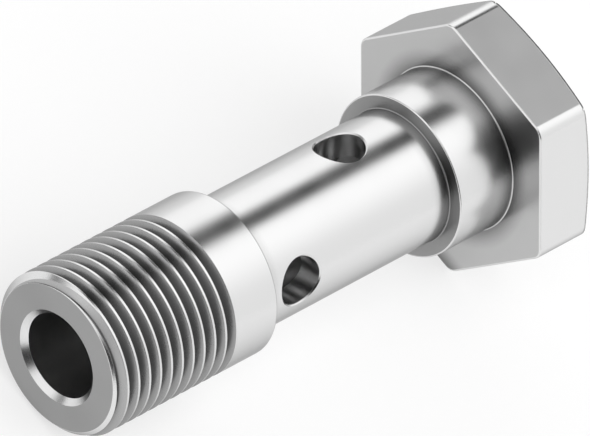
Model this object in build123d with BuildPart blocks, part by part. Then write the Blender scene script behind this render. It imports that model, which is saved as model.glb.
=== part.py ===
from build123d import *
from math import cos, radians, sin, tan
import os

# Driving sizes in millimetres, angles in degrees.
# The bolt lies along X: its head is on the minus X side with one flat down, its thread end
# is on the plus X side, and the origin is the centre of the bearing face under the head.

# Hex head
head_sides = 6
across_flats = 17.0
head_height = 4.7
head_corner_radius = 1.0  # round on the six corners between the flats
head_cone_angle = 15.0  # chamfer cone, measured from the head's outer face
head_cone_start = 16.2  # diameter where the cone leaves the outer face
bearing_edge_break = 0.12  # chamfer round the rim of the bearing face

# Collar under the head, which centres the first ring fitting
collar_diameter = 11.8
collar_length = 4.9

# Relieved shank, which the fluid flows round
relief_diameter = 9.7
relief_length = 17.2

# Threaded section, M12 x 1 at its 6g crest size, with a plain land beside the relieved shank
thread_diameter = 11.88
thread_section_length = 14.6
thread_lead_chamfer = 0.6  # at 45 degrees, down to the root of the thread

# Turned edges and corners
turned_edge_break = 0.08
inner_corner_radius = 0.1

# Blind flow bore, drilled from the thread end
bore_diameter = 6.1
bore_mouth_chamfer = 0.4
bore_past_port = 2.5  # full diameter beyond the axis of the port nearest the head
drill_point_angle = 118.0

# Cross ports, each drilled right through both walls of the relieved shank
port_diameter = 3.5
port_edge_break = 0.1
head_port_setback = 5.5  # from the collar to the axis of the port nearest the head
thread_port_setback = 3.3  # from the plain land to the axis of the other port
head_port_angle = 120.0  # about X, from Y towards Z
port_turn = -90.0  # from the port nearest the head to the other

# Places along the axis that follow from these
relief_start = collar_length
relief_end = relief_start + relief_length
end_face = relief_end + thread_section_length
head_port_x = relief_start + head_port_setback
thread_port_x = relief_end - thread_port_setback
bore_floor = head_port_x - bore_past_port

# Radii that follow from these
flat_radius = across_flats / 2
corner_reach = flat_radius / cos(radians(180 / head_sides))  # sharp corners of the hexagon
cone_start_radius = head_cone_start / 2
collar_radius = collar_diameter / 2
relief_radius = relief_diameter / 2
thread_radius = thread_diameter / 2
bore_radius = bore_diameter / 2
port_radius = port_diameter / 2


def port_plane(x, angle):
    # The plane across a port, with its normal along the drilling
    drilling = (0, cos(radians(angle)), sin(radians(angle)))
    return Plane(origin=(x, 0, 0), x_dir=(1, 0, 0), z_dir=drilling)


def on_outside(edge):
    # True for a port's edge on the relieved shank, false for its edge in the flow bore
    middle = edge @ 0.5
    return Vector(0, middle.Y, middle.Z).length > (relief_radius + bore_radius) / 2


with BuildPart() as banjo_bolt:
    # Hex head, extruded back from the bearing face
    with BuildSketch(Plane.YZ) as head_plan:
        RegularPolygon(radius=flat_radius, side_count=head_sides, major_radius=False)
        fillet(head_plan.vertices(), radius=head_corner_radius)
    extrude(amount=-head_height)
    bearing_face = banjo_bolt.faces().sort_by(Axis.X)[-1]
    chamfer(bearing_face.edges(), length=bearing_edge_break)

    # Cone that takes the six corners off the head's outer face
    with BuildSketch(Plane.XY):
        with BuildLine():
            cone_depth = (corner_reach - cone_start_radius) * tan(radians(head_cone_angle))
            Polyline(
                (-head_height, cone_start_radius),
                (-head_height, corner_reach),
                (cone_depth - head_height, corner_reach),
                close=True,
            )
        make_face()
    revolve(axis=Axis.X, mode=Mode.SUBTRACT)

    # Collar, relieved shank and threaded section, turned in one profile
    with BuildSketch(Plane.XY) as turned_profile:
        with BuildLine():
            Polyline(
                (-head_height / 2, 0),
                (-head_height / 2, collar_radius),
                (relief_start, collar_radius),
                (relief_start, relief_radius),
                (relief_end, relief_radius),
                (relief_end, thread_radius),
                (end_face - thread_lead_chamfer, thread_radius),
                (end_face, thread_radius - thread_lead_chamfer),
                (end_face, 0),
                close=True,
            )
        make_face()
        step_points = turned_profile.vertices().filter_by_position(Axis.X, relief_start, relief_end)
        step_points = step_points.sort_by(Axis.Y)
        fillet(step_points[:2], radius=inner_corner_radius)
        chamfer(step_points[2:], length=turned_edge_break)
    revolve(axis=Axis.X)

    # Inner corner where the collar meets the bearing face
    bearing_face = banjo_bolt.faces().filter_by(Plane.YZ).sort_by(Axis.X)[1]
    fillet(bearing_face.inner_wires().edges(), radius=inner_corner_radius)

    # Flow bore with its drill point, and the chamfer at its mouth
    with BuildSketch(Plane.XY):
        with BuildLine():
            drill_point = bore_radius / tan(radians(drill_point_angle / 2))
            Polyline(
                (end_face, 0),
                (end_face, bore_radius),
                (bore_floor, bore_radius),
                (bore_floor - drill_point, 0),
                close=True,
            )
        make_face()
    revolve(axis=Axis.X, mode=Mode.SUBTRACT)
    thread_end = banjo_bolt.faces().filter_by(Plane.YZ).sort_by(Axis.X)[-1]
    chamfer(thread_end.inner_wires().edges(), length=bore_mouth_chamfer)

    # Cross ports, with their outer edges broken
    port_planes = [
        port_plane(head_port_x, head_port_angle),
        port_plane(thread_port_x, head_port_angle + port_turn),
    ]
    with Locations(port_planes):
        Hole(radius=port_radius)
    port_edges = banjo_bolt.edges(Select.LAST).filter_by(on_outside)
    chamfer(port_edges, length=port_edge_break)

banjo_bolt.part.label = "banjo_bolt"

os.makedirs("parts", exist_ok=True)
export_step(banjo_bolt.part, "parts/banjo_bolt.step")
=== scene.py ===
import bmesh
import bpy
from math import atan, cos, pi, radians, sin, sqrt, tan
from mathutils import Matrix, Vector


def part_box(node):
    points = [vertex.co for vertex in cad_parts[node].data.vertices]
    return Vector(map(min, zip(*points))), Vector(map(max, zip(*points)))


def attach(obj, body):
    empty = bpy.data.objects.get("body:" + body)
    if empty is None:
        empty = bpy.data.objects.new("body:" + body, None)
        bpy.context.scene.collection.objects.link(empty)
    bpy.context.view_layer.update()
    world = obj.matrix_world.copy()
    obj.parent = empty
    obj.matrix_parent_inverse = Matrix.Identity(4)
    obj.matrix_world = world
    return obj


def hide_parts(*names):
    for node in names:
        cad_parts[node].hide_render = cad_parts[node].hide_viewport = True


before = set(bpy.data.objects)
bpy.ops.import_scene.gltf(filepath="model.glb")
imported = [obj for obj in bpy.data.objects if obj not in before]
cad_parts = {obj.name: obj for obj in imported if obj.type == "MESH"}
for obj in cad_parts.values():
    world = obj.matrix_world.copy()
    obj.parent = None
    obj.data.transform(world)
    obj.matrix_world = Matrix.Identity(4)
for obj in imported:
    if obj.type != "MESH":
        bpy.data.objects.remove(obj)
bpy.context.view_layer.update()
mm = 0.001
print("Frame loaded")


def toLinear(hexColour):
    # sRGB hex to the linear colour that Blender's sockets take
    channels = [int(hexColour[i:i + 2], 16) / 255 for i in (1, 3, 5)]
    linear = [c / 12.92 if c <= 0.04045 else ((c + 0.055) / 1.055) ** 2.4 for c in channels]
    return linear + [1.0]


def addNode(tree, kind, settings=None, links=None):
    # A node with its settings, which are sockets by name or number, or properties, and its links
    node = tree.nodes.new(kind)
    for name, value in (settings or {}).items():
        if isinstance(name, int) or name in node.inputs:
            node.inputs[name].default_value = value
        else:
            setattr(node, name, value)
    for name, socket in (links or {}).items():
        tree.links.new(socket, node.inputs[name])
    return node


def newMaterial(name):
    material = bpy.data.materials.new(name)
    material.use_nodes = True
    material.node_tree.nodes.clear()
    return material, material.node_tree


def placeObject(name, data):
    placed = bpy.data.objects.new(name, data)
    bpy.context.scene.collection.objects.link(placed)
    return placed


# The bolt is one bright free-cutting steel with a thin clear passivation: neutral grey and very
# reflective. What differs is how each surface was cut, and the faced surfaces' darker colours are
# painted shade. Marks run round the bolt's axis wherever it was turned, so their pattern only
# changes along the axis and along the radius.
steel = {
    "handlingMm": 3.0,       # size of the faint cloudiness left by washing and handling
    "cloudFrom": 0.3,        # the part of the noise's span that the cloudiness uses
    "cloudTo": 0.7,
    "grazing": "#B4B4B4",    # what steel keeps of a reflection seen at about 82 degrees
    "paintedShadeReachMm": 1.5,       # how far out of an inner corner the painted shade reaches
    "cornerOpenness": 0.5,   # how open a corner is where the painted shade is deepest
    "paintedShadeDepth": 0.5,        # what painted shade of strength 1 takes there
    "paintedShadeLeast": 0.1,        # what any painted shade leaves
    # In a finish, cloud is how far the roughness drifts and the last value the strength of the
    # painted shade in its inner corners. Marks is the width of the tool's marks and depth their
    # height, in millimetres. The real marks are about 0.1 mm wide, too fine to show, so they are
    # drawn two to three times as wide.
    "finishes": {
        # bar turned with a polished insert: smooth, with long soft reflections
        "brightTurnedSteel": dict(colour="#E4E4E4", roughness=0.24, cloud=0.02, marks=0.20,
                                  depth=0.00015, anisotropic=0.0, paintedCornerShade=0.8),
        # faced with a finishing cut: fine rings; its darker colour is painted shade
        "facedSteel": dict(colour="#C2C2C2", roughness=0.25, cloud=0.02, marks=0.22,
                           depth=0.0002, anisotropic=0.3, paintedCornerShade=1.3),
        # the ends of the thread and collar, faced in one quick cut: their greyer colour is
        # painted shade, and a reflection stretches along their rings
        "quickFacedSteel": dict(colour="#A2A2A2", roughness=0.30, cloud=0.02, marks=0.22,
                                depth=0.0004, anisotropic=0.9, paintedCornerShade=0.3),
        # thread flanks: a darker grey, with painted shade deep in the grooves
        "cutThreadSteel": dict(colour="#B2B2B2", roughness=0.27, cloud=0.02, marks=0.20,
                               depth=0.0002, anisotropic=0.0, paintedCornerShade=0.9),
        # cold-drawn hexagon bar: flat, even sheen
        "coldDrawnSteel": dict(colour="#E4E4E4", roughness=0.24, cloud=0.02, marks=0.30,
                               depth=0.0001, anisotropic=0.0, paintedCornerShade=0.0),
        # inside the long bore: rough and dull
        "drilledSteel": dict(colour="#C4C4C4", roughness=0.32, cloud=0.04, marks=0.25,
                             depth=0.0008, anisotropic=0.0, paintedCornerShade=0.0),
        # inside the short cross ports, reamed clean after drilling: smoother and brighter
        "reamedSteel": dict(colour="#E4E4E4", roughness=0.26, cloud=0.02, marks=0.25,
                            depth=0.0003, anisotropic=0.0, paintedCornerShade=0.0),
    },
}


def makeSteel(name, look):
    material, tree = newMaterial(name)
    place = addNode(tree, "ShaderNodeTexCoord").outputs["Object"]
    axes = addNode(tree, "ShaderNodeSeparateXYZ", links={"Vector": place})
    across = addNode(tree, "ShaderNodeCombineXYZ",
                     links={"Y": axes.outputs["Y"], "Z": axes.outputs["Z"]})
    radius = addNode(tree, "ShaderNodeVectorMath", {"operation": "LENGTH"}, {0: across.outputs[0]})
    path = addNode(tree, "ShaderNodeMath", {"operation": "ADD"},
                   {0: axes.outputs["X"], 1: radius.outputs["Value"]})
    marks = addNode(tree, "ShaderNodeTexNoise",
                    {"noise_dimensions": "1D", "Scale": 1 / (look["marks"] * mm), "Detail": 1.0},
                    {"W": path.outputs[0]})
    clouds = addNode(tree, "ShaderNodeTexNoise",
                     {"Scale": 1 / (steel["handlingMm"] * mm), "Detail": 2.0}, {"Vector": place})
    roughness = addNode(tree, "ShaderNodeMapRange",
                        {"From Min": steel["cloudFrom"], "From Max": steel["cloudTo"],
                         "To Min": look["roughness"] - look["cloud"],
                         "To Max": look["roughness"] + look["cloud"]},
                        {"Value": clouds.outputs["Fac"]})
    bump = addNode(tree, "ShaderNodeBump", {"Strength": 1.0, "Distance": look["depth"] * mm},
                   {"Height": marks.outputs["Fac"]})
    # Painted shade: the steel's colour darkens in inner corners and grooves, by how closed in they
    # are
    openness = addNode(tree, "ShaderNodeAmbientOcclusion",
                       {"samples": 8, "Distance": steel["paintedShadeReachMm"] * mm})
    paintedShadeFactor = addNode(tree, "ShaderNodeMapRange",
                   {"From Min": steel["cornerOpenness"], "From Max": 1.0,
                    "To Min": max(steel["paintedShadeLeast"], 1 - steel["paintedShadeDepth"] * look["paintedCornerShade"]),
                    "To Max": 1.0},
                   {"Value": openness.outputs["AO"]})
    # 6 and 7 are this node's two colours, because its other types use the same names
    colour = addNode(tree, "ShaderNodeMix",
                     {"data_type": "RGBA", "blend_type": "MULTIPLY", "Factor": 1.0,
                      6: toLinear(look["colour"])},
                     {7: paintedShadeFactor.outputs[0]})
    aroundAxis = addNode(tree, "ShaderNodeTangent", {"direction_type": "RADIAL", "axis": "X"})
    shader = addNode(tree, "ShaderNodeBsdfPrincipled",
                     {"Metallic": 1.0, "Anisotropic": look["anisotropic"],
                      "Specular Tint": toLinear(steel["grazing"])},
                     {"Base Color": colour.outputs[2], "Roughness": roughness.outputs[0],
                      "Normal": bump.outputs[0], "Tangent": aroundAxis.outputs[0]})
    addNode(tree, "ShaderNodeOutputMaterial", links={"Surface": shader.outputs[0]})
    return material


materials = [makeSteel(name, look) for name, look in steel["finishes"].items()]
finishNumber = {name: i for i, name in enumerate(steel["finishes"])}
print("Steel finishes made")


def makeSolid(name, points, faces):
    # Points are in millimetres. A face is its corners, a true normal for each, which lets the
    # polished steel reflect cleanly, and its finish.
    mesh = bpy.data.meshes.new(name)
    mesh.from_pydata([[c * mm for c in p] for p in points], [], [f[0] for f in faces])
    layer = mesh.attributes.new("trueNormal", "FLOAT_VECTOR", "CORNER")
    layer.data.foreach_set("vector", [c for f in faces for normal in f[1] for c in normal])
    mesh.polygons.foreach_set("material_index", [finishNumber[f[2]] for f in faces])
    for material in materials:
        mesh.materials.append(material)
    return placeObject(name, mesh)


def quadBetween(level, i, count):
    # Corners of one face between a ring of points and the next, in a solid built up of rings
    j = (i + 1) % count
    low, high = level * count, (level + 1) * count
    return [low + i, low + j, high + j, high + i]


def turnedProfile(corners, arcSteps=5):
    # Corners are (x, radius, rounding, finish of the run that starts there), walked so that the
    # steel is on the right. Gives runs of (x, radius, normal along x, normal outward) and a finish.
    runs = []
    for i in range(len(corners) - 1):
        (x0, r0, _, finish), (x1, r1, rounding, _) = corners[i], corners[i + 1]
        along = Vector((x1 - x0, r1 - r0)).normalized()
        normal = Vector((-along.y, along.x))
        start = runs[-1][0][-1][:2] if runs else (x0, r0)
        if i + 2 < len(corners) and rounding:
            x2, r2 = corners[i + 2][:2]
            ahead = Vector((x2 - x1, r2 - r1)).normalized()
            turn = along.angle_signed(ahead)          # positive clockwise: an outer edge
            setback = rounding * tan(abs(turn) / 2)
            end = Vector((x1, r1)) - along * setback
            runs.append(([(*start, *normal), (*end, *normal)], finish))
            side = 1 if turn > 0 else -1
            centre = end - normal * rounding * side
            arc = []
            for step in range(arcSteps + 1):
                spin = Matrix.Rotation(-turn * step / arcSteps, 2)
                n = spin @ normal
                arc.append((*(centre + n * rounding * side), *n))
            runs.append((arc, finish))
        else:
            runs.append(([(*start, *normal), (x1, r1, *normal)], finish))
    return runs


def turnSolid(name, runs, sides, cutter=False):
    # Turns a profile round the X axis. A cutter's normals point into it, out of the steel that
    # it leaves.
    sign = -1 if cutter else 1
    points, faces, rings = [], [], {}

    def ringAt(x, r):
        key = (round(x, 6), round(r, 6))
        if key not in rings:
            count = sides if r > 1e-6 else 1          # on the axis a ring is one point
            rings[key] = [len(points) + i for i in range(count)]
            points.extend((x, r * cos(2 * pi * i / sides), r * sin(2 * pi * i / sides))
                          for i in range(count))
        return rings[key]

    for run, finish in runs:
        for (x0, r0, *n0), (x1, r1, *n1) in zip(run, run[1:]):
            first, second = ringAt(x0, r0), ringAt(x1, r1)
            for i in range(sides):
                j = (i + 1) % sides
                corners, normals = [], []
                for ring, n, k in ((first, n0, i), (second, n1, i),
                                   (second, n1, j), (first, n0, j)):
                    index = ring[k % len(ring)]
                    if index not in corners:
                        angle = 2 * pi * k / sides
                        corners.append(index)
                        normals.append((sign * n[0], sign * n[1] * cos(angle),
                                        sign * n[1] * sin(angle)))
                faces.append((corners[::-1], normals[::-1], finish))
    return makeSolid(name, points, faces)


def combine(solid, other, operation):
    # An exact boolean, which carries each corner's true normal and each face's finish along
    modifier = solid.modifiers.new("combine", "BOOLEAN")
    modifier.operation = operation
    modifier.solver = "EXACT"
    modifier.object = other
    bpy.context.view_layer.update()
    evaluated = solid.evaluated_get(bpy.context.evaluated_depsgraph_get())
    shaped = bpy.data.meshes.new_from_object(evaluated)
    solid.modifiers.clear()
    solid.data = shaped
    bpy.data.objects.remove(other)


# The bolt: hex head, collar, relieved shank, land and thread. Sizes are in millimetres, and the
# X axis runs from the middle of the bearing face to the thread end.
bolt = {
    "sides": 192,                # facets round the turned surfaces
    "acrossFlats": 17.0,
    "headHeight": 4.7,
    "headCornerRadius": 1.0,
    "headCornerSteps": 8,        # facets round each corner between two flats
    "headConeAngle": 15.0,
    "headConeStart": 16.2,
    "coneStartRadius": 0.25,     # rounding where the cone leaves the outer face
    "bearingEdgeRadius": 0.13,
    "bearingEdgeSteps": 4,
    "farEdgeEase": 0.18,         # strip where the chamfer cone meets the flats
    "collarDiameter": 11.8,
    "collarEnd": 4.9,
    "reliefDiameter": 9.7,
    "reliefEnd": 22.1,
    "landDiameter": 11.88,
    "endFace": 36.7,
    "leadChamfer": 0.6,
    "leadRadius": 0.05,          # rounding where the lead chamfer starts
    "edgeRadius": 0.1,           # turned outer edges
    "endEdgeRadius": 0.06,       # rim of the end face
    "innerCornerRadius": 0.10,
    "boreDiameter": 6.1,
    "boreSides": 128,
    "boreMouthChamfer": 0.4,
    "boreFloor": 7.9,
    "drillPointAngle": 118.0,
    "beyond": 1.0,               # how far stock and cutters reach past a face that is cut
    "overlap": 2.0,              # how far the body reaches into the head, and its trim out of it
}


def easeFarEdges(head):
    # Along each edge of the cone the normals turn over a narrow strip, as on a lightly broken edge
    mesh = bmesh.new()
    mesh.from_mesh(head.data)
    layer = mesh.loops.layers.float_vector["trueNormal"]
    edges = [e for e in mesh.edges if e.verts[0].co.x < -mm      # not the bearing face's
             and e.link_faces[0].material_index != e.link_faces[1].material_index]
    made = bmesh.ops.bevel(mesh, geom=edges, offset=bolt["farEdgeEase"] * mm, offset_type="OFFSET",
                           segments=2, profile=1.0, affect="EDGES", clamp_overlap=False)
    strip = set(made["faces"])
    outer, middle = set(), {}
    for face in strip:
        for loop in face.loops:
            for side in (loop, loop.link_loop_prev):
                across = side.link_loop_radial_next
                if across.face not in strip:
                    match = across if across.vert == loop.vert else across.link_loop_next
                    loop[layer] = match[layer]
                    outer.add(loop)
    for face in strip:
        for loop in face.loops:
            if loop not in outer:
                near = [n for n in (loop.link_loop_prev, loop.link_loop_next) if n in outer]
                normal = sum((n[layer] for n in near), Vector())
                middle.setdefault(loop.vert, []).append((loop, normal))
    for pairs in middle.values():
        turned = sum((normal for _, normal in pairs), Vector()).normalized()
        for loop, _ in pairs:
            loop[layer] = turned
    mesh.to_mesh(head.data)
    mesh.free()


def makeHead():
    # A prism with rounded corners and a rounded bearing edge, trimmed by the chamfer cone
    steps, edgeSteps = bolt["headCornerSteps"], bolt["bearingEdgeSteps"]
    sixth = 60                   # degrees from one corner of the hexagon to the next
    centreReach = (bolt["acrossFlats"] / 2 - bolt["headCornerRadius"]) / cos(pi / 6)
    angles = [radians(sixth * corner - sixth / 2 + sixth * step / steps)
              for corner in range(6) for step in range(steps + 1)]
    centres = [radians(sixth * corner) for corner in range(6) for _ in range(steps + 1)]
    edge = bolt["bearingEdgeRadius"]
    tilts = [radians(90 * step / edgeSteps) for step in range(edgeSteps + 1)]
    # rings are (x, how far in from the flats, tilt of the normal towards the bearing face)
    rings = [(-bolt["headHeight"] - bolt["beyond"], 0.0, 0.0)]
    rings += [(-edge + edge * sin(t), edge * (1 - cos(t)), t) for t in tilts]
    points, faces = [], []
    for x, inset, _ in rings:
        radius = bolt["headCornerRadius"] - inset
        points.extend((x, centreReach * cos(c) + radius * cos(a),
                       centreReach * sin(c) + radius * sin(a)) for a, c in zip(angles, centres))
    count = len(angles)
    for level in range(len(rings) - 1):
        for i in range(count):
            corners = quadBetween(level, i, count)
            normals = []
            for index in corners:
                t, a = rings[index // count][2], angles[index % count]
                normals.append((sin(t), cos(t) * cos(a), cos(t) * sin(a)))
            faces.append((corners, normals, "coldDrawnSteel"))
    last = (len(rings) - 1) * count
    faces.append((list(range(last, last + count)), [(1, 0, 0)] * count, "facedSteel"))
    faces.append((list(range(count))[::-1], [(-1, 0, 0)] * count, "facedSteel"))
    head = makeSolid("head", points, faces)

    outerFace = -bolt["headHeight"]
    coneStart, reach = bolt["headConeStart"] / 2, bolt["acrossFlats"]
    coneEnd = outerFace + (reach - coneStart) * tan(radians(bolt["headConeAngle"]))
    trim = turnSolid("trim", turnedProfile([
        (outerFace, 0, 0, "facedSteel"),
        (outerFace, coneStart, bolt["coneStartRadius"], "facedSteel"),
        (coneEnd, reach, 0, "facedSteel"),
        (bolt["overlap"], reach, 0, "facedSteel"),
        (bolt["overlap"], 0, 0, "facedSteel"),
    ]), bolt["sides"])
    combine(head, trim, "INTERSECT")
    easeFarEdges(head)
    return head


def makeTurnedBody():
    widths = ("collarDiameter", "reliefDiameter", "landDiameter")
    collar, relief, land = (bolt[width] / 2 for width in widths)
    edge, inner, chamfer = bolt["edgeRadius"], bolt["innerCornerRadius"], bolt["leadChamfer"]
    plug = collar + inner        # the inner corner under the head ends on the bearing face
    insideHead = turnedProfile([
        (-bolt["overlap"], 0, 0, "facedSteel"),
        (-bolt["overlap"], plug, 0, "facedSteel"),
        (0, plug, 0, "facedSteel"),
    ])
    fromHead = turnedProfile([
        (0, plug, 0, "brightTurnedSteel"),
        (0, collar, inner, "brightTurnedSteel"),
        (bolt["collarEnd"], collar, edge, "quickFacedSteel"),
        (bolt["collarEnd"], relief, inner, "brightTurnedSteel"),
        (bolt["reliefEnd"], relief, inner, "facedSteel"),
        (bolt["reliefEnd"], land, edge, "brightTurnedSteel"),
        (bolt["endFace"] - chamfer, land, bolt["leadRadius"], "brightTurnedSteel"),
        (bolt["endFace"], land - chamfer, bolt["endEdgeRadius"], "quickFacedSteel"),
        (bolt["endFace"], 0, 0, "quickFacedSteel"),
    ])[1:]                       # the first run, along the bearing face, has no length
    return turnSolid("turnedBody", insideHead + fromHead, bolt["sides"])


def makeBoreCutter():
    radius, mouth, beyond = bolt["boreDiameter"] / 2, bolt["boreMouthChamfer"], bolt["beyond"]
    point = radius / tan(radians(bolt["drillPointAngle"] / 2))
    return turnSolid("boreCutter", turnedProfile([
        (bolt["boreFloor"] - point, 0, 0, "drilledSteel"),
        (bolt["boreFloor"], radius, 0, "drilledSteel"),
        (bolt["endFace"] - mouth, radius, 0, "brightTurnedSteel"),
        (bolt["endFace"] + beyond, radius + mouth + beyond, 0, "brightTurnedSteel"),
        (bolt["endFace"] + beyond, 0, 0, "brightTurnedSteel"),
    ]), bolt["boreSides"], cutter=True)


# Thread: M12 x 1, right-hand, cut by a V tool that runs out into the plain land
thread = {
    "pitch": 1.0,
    "rootRadius": 5.33,
    "rootWidth": 0.11,
    "flankAngle": 30.0,          # each flank's lean, 60 degrees between the two
    "crestEase": 0.015,          # how far below the crest its edges start to be eased
    "easeSlope": 1.2,            # how much an eased edge opens for its height
    "toolAbove": 0.04,           # how far the tool's top stands above the land
    "toolClear": 0.05,           # how far above the land its tip starts
    "grooveX": 26.48,            # middle of the first groove at grooveAngle
    "grooveAngle": 71.0,         # about X, from Y towards Z
    "runOutFrom": -120.0,        # the tool is clear of the steel here
    "runOutTo": -30.0,           # and at full depth here
    "stepsPerTurn": 96,
}


def makeThreadCutter():
    land = bolt["landDiameter"] / 2
    root, flank = thread["rootRadius"], tan(radians(thread["flankAngle"]))
    half = thread["rootWidth"] / 2
    eased = land - thread["crestEase"]
    easedHalf = half + (eased - root) * flank
    top = land + thread["toolAbove"]
    topHalf = easedHalf + (top - eased) * thread["easeSlope"]
    section = [(-topHalf, top), (-easedHalf, eased), (-half, root),
               (half, root), (easedHalf, eased), (topHalf, top)]
    lift = land - root + thread["toolClear"]
    turns = (bolt["endFace"] + bolt["beyond"] - thread["grooveX"]) / thread["pitch"]
    first, last = thread["runOutFrom"], thread["grooveAngle"] + 360 * turns
    count = int((last - first) / 360 * thread["stepsPerTurn"])
    size = len(section)
    points, faces = [], []
    for step in range(count + 1):
        degrees = first + (last - first) * step / count
        middle = thread["grooveX"] + thread["pitch"] * (degrees - thread["grooveAngle"]) / 360
        share = min(1, (degrees - first) / (thread["runOutTo"] - first))
        raised = lift * (1 - share) ** 2
        a = radians(degrees)
        points.extend((middle + u, (r + raised) * cos(a), (r + raised) * sin(a))
                      for u, r in section)
    for step in range(count):
        for k in range(size):
            corners = quadBetween(step, k, size)
            normals = []
            for index in corners:
                here, spot = divmod(index, size)
                before, after = max(here - 1, 0), min(here + 1, count)
                along = Vector(points[after * size + spot]) - Vector(points[before * size + spot])
                nextSpot = Vector(points[here * size + (k + 1) % size])
                across = nextSpot - Vector(points[here * size + k])
                normals.append(along.cross(across).normalized())
            faces.append((corners, normals, "cutThreadSteel"))
    ends = (list(range(size))[::-1], list(range(count * size, (count + 1) * size)))
    for end in ends:                                  # both stay outside the steel
        faces.append((end, [(0, 0, 1)] * size, "cutThreadSteel"))
    return makeSolid("threadCutter", points, faces)


# Cross ports: each is drilled right through, with its outer edges broken along the shank's curve
ports = {
    "diameter": 3.5,
    "edgeBreak": 0.1,
    "headPort": (10.4, 120.0),   # place along X, drilling angle about X from Y towards Z
    "threadPort": (18.8, 30.0),
    "sides": 96,
    "flare": 1.6,                # the cutter's flared mouth, in widths of the broken edge
    "tipHeight": 6.5,            # the cutter's two tips, from the bolt's axis
}


def makePortCutter(x, degrees):
    shank, radius, ease = bolt["reliefDiameter"] / 2, ports["diameter"] / 2, ports["edgeBreak"]
    sides, tipHeight = ports["sides"], ports["tipHeight"]
    a = radians(degrees)

    def place(across, turn, height):
        # A point of the drilling: across from its axis, turned round it, at a height along it
        side = across * sin(turn)
        return Vector((x + across * cos(turn), height * cos(a) - side * sin(a),
                       height * sin(a) + side * cos(a)))

    def surface(across, turn):
        return sqrt(shank ** 2 - (across * sin(turn)) ** 2)

    turns = [2 * pi * i / sides for i in range(sides)]
    lip = [place(radius, t, surface(radius, t) - ease) for t in turns]
    rim = [place(radius + ease, t, surface(radius + ease, t)) for t in turns]
    top = [l + (r - l) * ports["flare"] for l, r in zip(lip, rim)]

    def opposite(points):
        # The same ring on the far wall: half a turn about X, walked the same way round the drilling
        turned = [Vector((p.x, -p.y, -p.z)) for p in points]
        return [turned[-i % sides] for i in range(sides)]

    rings = [top, lip, opposite(lip), opposite(top)]
    points = [p for ring in rings for p in ring]
    points += [place(0, 0, tipHeight), place(0, 0, -tipHeight)]
    faces = []
    for level in range(3):
        drilled = level == 1     # the drilling itself, between the two broken edges
        ring, other = rings[level], rings[level + 1]
        for i in range(sides):
            corners = quadBetween(level, i, sides)
            normals = []
            for index in corners:
                k = index % sides
                if drilled:
                    normals.append((place(0, 0, 0) - place(1, turns[k], 0)).normalized())
                else:
                    along = ring[(k + 1) % sides] - ring[k - 1]
                    normals.append((other[k] - ring[k]).cross(along).normalized())
            faces.append((corners, normals, "reamedSteel" if drilled else "brightTurnedSteel"))
    farRing, nearTip, farTip = 3 * sides, 4 * sides, 4 * sides + 1
    for i in range(sides):
        j = (i + 1) % sides
        for tip in ([nearTip, j, i], [farTip, farRing + i, farRing + j]):
            faces.append((tip, [(0, 0, 1)] * 3, "reamedSteel"))
    return makeSolid("portCutter", points, faces)


banjoBolt = makeTurnedBody()
print("Body turned:", len(banjoBolt.data.polygons), "faces")
combine(banjoBolt, makeHead(), "UNION")
print("Head joined:", len(banjoBolt.data.polygons), "faces")
combine(banjoBolt, makeThreadCutter(), "DIFFERENCE")
print("Thread cut:", len(banjoBolt.data.polygons), "faces")
combine(banjoBolt, makeBoreCutter(), "DIFFERENCE")
for placed in ("headPort", "threadPort"):
    combine(banjoBolt, makePortCutter(*ports[placed]), "DIFFERENCE")
print("Bore and ports drilled:", len(banjoBolt.data.polygons), "faces")


def useTrueNormals(mesh):
    layer = mesh.attributes["trueNormal"]
    flat = [0.0] * len(mesh.loops) * 3
    layer.data.foreach_get("vector", flat)
    normals = [Vector(flat[i:i + 3]).normalized() for i in range(0, len(flat), 3)]
    mesh.shade_smooth()
    mesh.normals_split_custom_set(normals)
    mesh.attributes.remove(mesh.attributes["trueNormal"])


useTrueNormals(banjoBolt.data)
banjoBolt.name = banjoBolt.data.name = "boltBody"
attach(banjoBolt, "root")
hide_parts("banjo_bolt")
print("Bolt finished:", len(banjoBolt.data.polygons), "faces")


# Floor: the bolt lies as it came to rest, on its head's rim and its thread end. The bolt stays as
# modelled, so the floor is tipped to touch both. It is matte white paper, an even white without a
# sheen, on which a soft shadow still shows.
floorLook = {
    "colour": "#FBFBFB",
    "size": 4.0,                 # metres
    "glow": 0.6,                 # share that the camera and reflections see as plain white
    "heelX": -0.12,              # where it touches the head's rim, in millimetres along X
}


def makeFloor():
    low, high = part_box("banjo_bolt")
    heel = Vector((floorLook["heelX"] * mm, 0, low.z))
    toe = Vector((high.x - bolt["leadChamfer"] * mm, 0, -bolt["landDiameter"] / 2 * mm))
    slope = atan((toe.z - heel.z) / (toe.x - heel.x))
    half = floorLook["size"] / 2
    mesh = bpy.data.meshes.new("floor")
    mesh.from_pydata([(-half, -half, 0), (half, -half, 0), (half, half, 0), (-half, half, 0)],
                     [], [(0, 1, 2, 3)])
    floor = placeObject("floor", mesh)
    floor.location = heel
    floor.rotation_euler = (0, -slope, 0)
    material, tree = newMaterial("matteWhitePaper")
    paper = addNode(tree, "ShaderNodeBsdfDiffuse", {"Color": toLinear(floorLook["colour"])})
    white = addNode(tree, "ShaderNodeEmission", {"Color": toLinear("#FFFFFF"), "Strength": 1.0})
    path = addNode(tree, "ShaderNodeLightPath")
    seen = path.outputs["Is Camera Ray"]
    for ray in ("Is Glossy Ray", "Is Transmission Ray"):      # the steel shows the same white floor
        seen = addNode(tree, "ShaderNodeMath", {"operation": "MAXIMUM"},
                       {0: seen, 1: path.outputs[ray]}).outputs[0]
    share = addNode(tree, "ShaderNodeMath", {"operation": "MULTIPLY", 1: floorLook["glow"]},
                    {0: seen})
    mixed = addNode(tree, "ShaderNodeMixShader",
                    links={0: share.outputs[0], 1: paper.outputs[0], 2: white.outputs[0]})
    addNode(tree, "ShaderNodeOutputMaterial", links={"Surface": mixed.outputs[0]})
    mesh.materials.append(material)


makeFloor()
print("Floor placed")


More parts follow.
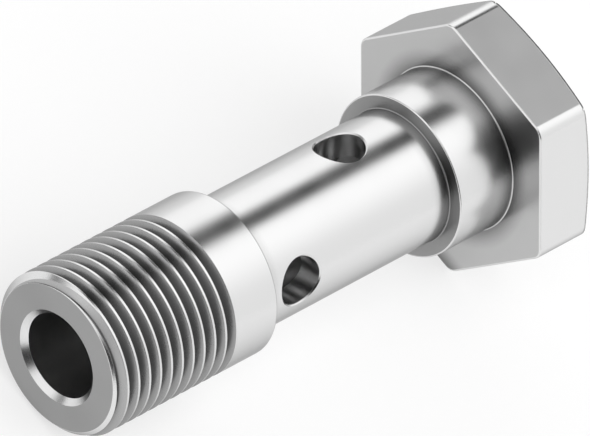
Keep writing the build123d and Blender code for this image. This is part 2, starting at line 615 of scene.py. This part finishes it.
# Studio: a white tent, brighter behind the bolt than on the camera's side, with dark screens that
# give the polished steel its contrast, and two soft lamps that light the floor
studio = {
    "behind": 1.28,              # the tent towards the head, as the steel sees it
    "front": 0.68,               # the tent beyond the thread end
    "turnsFrom": -0.45,          # the tent dims between these, which are directions' shares along X
    "turnsTo": 0.25,
    "ambient": 0.40,             # as the tent lights the floor
    "backdrop": 1.0,             # as the camera sees the tent: plain white
    "screens": {
        # direction of the middle, stretch along X, share of light left, solid and gone at degrees
        "overheadGap": ((-0.594, -0.414, 0.690), 0.35, 0.02, 5, 19),
        "frontWindow": ((0.720, -0.250, 0.620), 1.0, 1.57, 24, 40),
        "windowDrape": ((0.620, 0.700, 0.350), 1.0, 0.02, 20, 38),
        "drapeFold": ((0.594, 0.560, 0.580), 2.0, 0.10, 6, 20),
        "cameraGap": ((0.594, 0.360, 0.720), 1.0, 0.20, 6, 22),
        "lowBand": ((0.570, -0.815, -0.070), 1.0, 0.02, 9, 25),
        "lowBandSide": ((0.380, -0.920, -0.030), 1.0, 0.10, 4, 13),
        "gapOverThread": ((-0.340, -0.460, 0.820), 1.0, 0.02, 8, 18),
        "lowWindow": ((0.860, -0.470, 0.050), 1.0, 1.70, 8, 22),
        "farWall": ((-0.930, -0.256, -0.100), 1.0, 0.05, 22, 36),
        "dimCorner": ((0.520, 0.850, 0.000), 1.0, 0.15, 14, 50),
        "sideWall": ((-0.594, 0.800, 0.000), 1.0, 0.76, 20, 60),
    },
    # places and sizes in metres, power in watts
    "lamps": [
        dict(name="keyLamp", at=(0.0, 0.8, 0.95), size=(3.0, 2.2), power=27.0),
        dict(name="fillLamp", at=(0.0, -1.2, 0.5), size=(3.0, 0.9), power=9.0),
    ],
}


def makeTent():
    world = bpy.data.worlds.new("studioTent")
    bpy.context.scene.world = world
    world.use_nodes = True
    tree = world.node_tree
    tree.nodes.clear()
    direction = addNode(tree, "ShaderNodeTexCoord").outputs["Generated"]
    axes = addNode(tree, "ShaderNodeSeparateXYZ", links={"Vector": direction})
    light = addNode(tree, "ShaderNodeMapRange",
                    {"interpolation_type": "SMOOTHSTEP",
                     "From Min": studio["turnsFrom"], "From Max": studio["turnsTo"],
                     "To Min": studio["behind"], "To Max": studio["front"]},
                    {"Value": axes.outputs["X"]}).outputs[0]
    for at, stretchX, shade, solid, gone in studio["screens"].values():
        stretch = (stretchX, 1, 1)
        middle = [c * s for c, s in zip(Vector(at).normalized(), stretch)]
        drawn = addNode(tree, "ShaderNodeVectorMath", {"operation": "MULTIPLY", 1: stretch},
                        {0: direction})
        away = addNode(tree, "ShaderNodeVectorMath", {"operation": "DISTANCE", 1: middle},
                       {0: drawn.outputs["Vector"]})
        share = addNode(tree, "ShaderNodeMapRange",
                        {"interpolation_type": "SMOOTHSTEP",
                         "From Min": radians(solid), "From Max": radians(gone),
                         "To Min": shade, "To Max": 1.0},
                        {"Value": away.outputs["Value"]})
        light = addNode(tree, "ShaderNodeMath", {"operation": "MULTIPLY"},
                        {0: light, 1: share.outputs[0]}).outputs[0]
    path = addNode(tree, "ShaderNodeLightPath")
    seen = addNode(tree, "ShaderNodeMix", {"data_type": "FLOAT", "B": studio["ambient"]},
                   {"Factor": path.outputs["Is Diffuse Ray"], "A": light})
    level = addNode(tree, "ShaderNodeMix", {"data_type": "FLOAT", "B": studio["backdrop"]},
                    {"Factor": path.outputs["Is Camera Ray"], "A": seen.outputs[0]})
    background = addNode(tree, "ShaderNodeBackground", {"Color": toLinear("#FFFFFF")},
                         {"Strength": level.outputs[0]})
    addNode(tree, "ShaderNodeOutputWorld", links={"Surface": background.outputs[0]})


def makeLamp(name, at, size, power):
    lamp = bpy.data.lights.new(name, "AREA")
    lamp.shape = "RECTANGLE"
    lamp.size, lamp.size_y = size
    lamp.energy = power
    holder = placeObject(name, lamp)
    holder.location = at
    holder.rotation_euler = (-Vector(at)).to_track_quat("-Z", "Y").to_euler()
    holder.visible_glossy = False    # the steel reflects the tent in front of the lamps


makeTent()
for lamp in studio["lamps"]:
    makeLamp(**lamp)
print("Studio lit")


# Camera, as the photograph was taken: from above the thread end, with a long lens and a tilted
# frame. Its target and distance are in millimetres, and its clipping in metres.
shot = {
    "target": (9.128, -2.870, -6.149),
    "azimuth": 113.321,
    "elevation": 49.684,
    "roll": 32.524,
    "distance": 1200.0,
    "lens": 1093.43,
    "sensor": 36.0,
    "clipStart": 0.1,
    "clipEnd": 20.0,
}


def makeCamera():
    a, e = radians(shot["azimuth"]), radians(shot["elevation"])
    back = Vector((sin(a) * cos(e), -cos(a) * cos(e), sin(e)))
    data = bpy.data.cameras.new("camera")
    data.lens, data.sensor_width = shot["lens"], shot["sensor"]
    data.clip_start, data.clip_end = shot["clipStart"], shot["clipEnd"]
    camera = placeObject("camera", data)
    camera.rotation_mode = "QUATERNION"
    camera.location = (Vector(shot["target"]) + back * shot["distance"]) * mm
    level = (-back).to_track_quat("-Z", "Y").to_matrix()
    roll = Matrix.Rotation(radians(shot["roll"]), 3, "Z")
    camera.rotation_quaternion = (level @ roll).to_quaternion()
    bpy.context.scene.camera = camera


makeCamera()
bpy.context.scene.view_settings.view_transform = "Standard"
print("Camera set")
